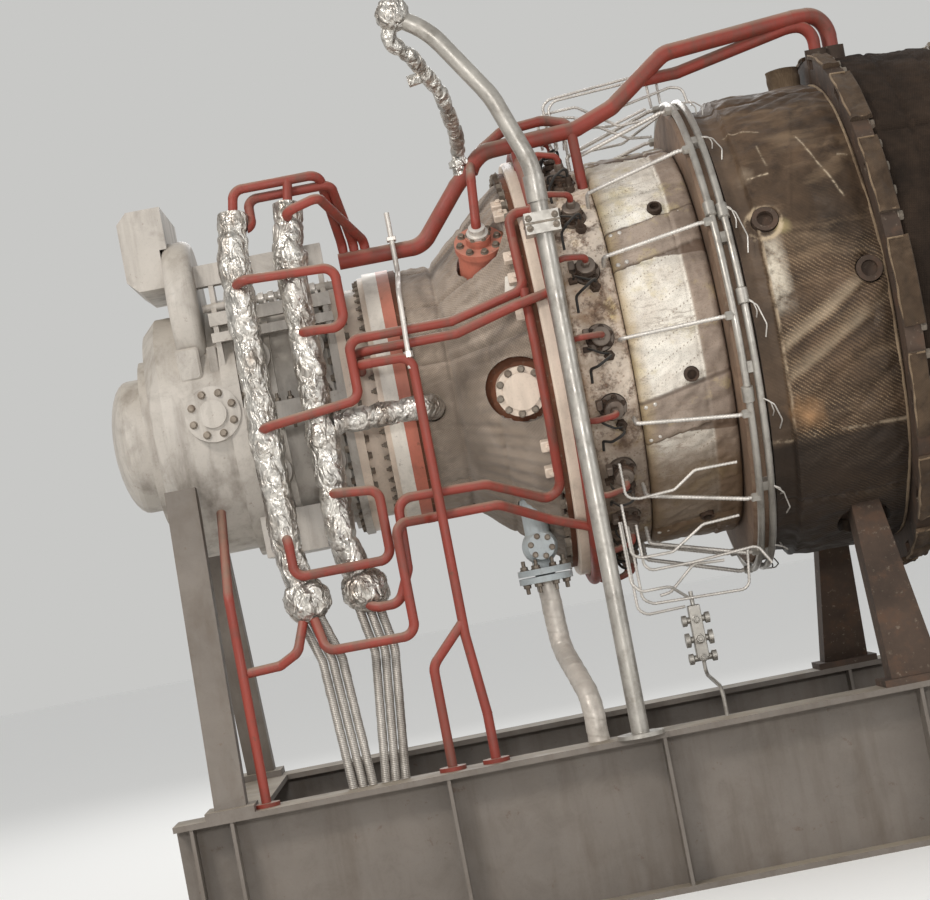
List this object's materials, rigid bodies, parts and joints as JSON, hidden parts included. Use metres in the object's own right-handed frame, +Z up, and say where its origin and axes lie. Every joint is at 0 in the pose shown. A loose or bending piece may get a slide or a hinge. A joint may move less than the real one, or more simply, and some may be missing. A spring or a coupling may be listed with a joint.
{
  "type": "industrial gas turbine",
  "caption": "Industrial gas turbine with compressor, combustor and lagged turbine casing, its foil wrapped bleed pipes and red service pipes, on a steel base frame.",
  "frame": {"origin": "on the floor, at the middle of the underside of the middle cross beam, under the shaft line", "axes": "+X along the shaft from air intake to exhaust, -Y to the service side, +Z up"},
  "size_m": [3.77, 1.9, 3.188],
  "materials": {
    "grey_paint": "satin, dusty",
    "cream_paint": "satin, dusty",
    "white_paint": "satin, stained",
    "salmon_paint": "satin, faded",
    "red_paint": "satin, chipped",
    "frame_paint": "matt, dusty",
    "dark_metal": "heat stained, rusty",
    "steel": "dull stainless",
    "foil": "crinkled foil wrap",
    "silver_cloth": "foil faced cloth",
    "beige_cloth": "quilted glass cloth",
    "brown_cloth": "heat browned woven cloth"
  },
  "bodies": {
    "root": {"base_rail_near": "frame_paint", "base_rail_far": "frame_paint", "base_cross_front": "frame_paint", "base_cross_mid": "frame_paint", "base_cross_rear": "frame_paint", "front_leg_near": "frame_paint", "front_leg_far": "frame_paint", "rear_leg_near": "dark_metal", "rear_leg_far": "dark_metal", "bearing_nose": "grey_paint", "intake_barrel": "grey_paint", "housing_disc": "grey_paint", "top_housing": "grey_paint", "round_cover": "grey_paint", "compressor_casing": "grey_paint", "vane_linkage": "grey_paint", "cream_casing": "cream_paint", "white_flange_ring": "white_paint", "red_flange_ring": "salmon_paint", "diffuser_casing": "dark_metal", "diffuser_blanket": "beige_cloth", "upper_boss": "salmon_paint", "side_boss": "cream_paint", "combustor_flange": "cream_paint", "combustor_casing": "dark_metal", "foil_blanket": "silver_cloth", "burners": "steel", "fuel_manifold": "red_paint", "turbine_flange": "dark_metal", "ring_tubes": "steel", "turbine_casing": "dark_metal", "turbine_blanket": "brown_cloth", "power_turbine_casing": "dark_metal", "exhaust_casing": "dark_metal", "front_bleed_pipe": "foil", "rear_bleed_pipe": "foil", "foil_elbow": "foil", "drain_valve": "steel", "lower_hoses": "steel", "stainless_riser": "steel", "branch_hose": "foil", "riser_clamp": "steel", "red_header": "red_paint", "red_upper_loops": "red_paint", "red_lower_loops": "red_paint", "red_waist_pipes": "red_paint", "instrument_tubes": "steel"}
  },
  "joints": []
}
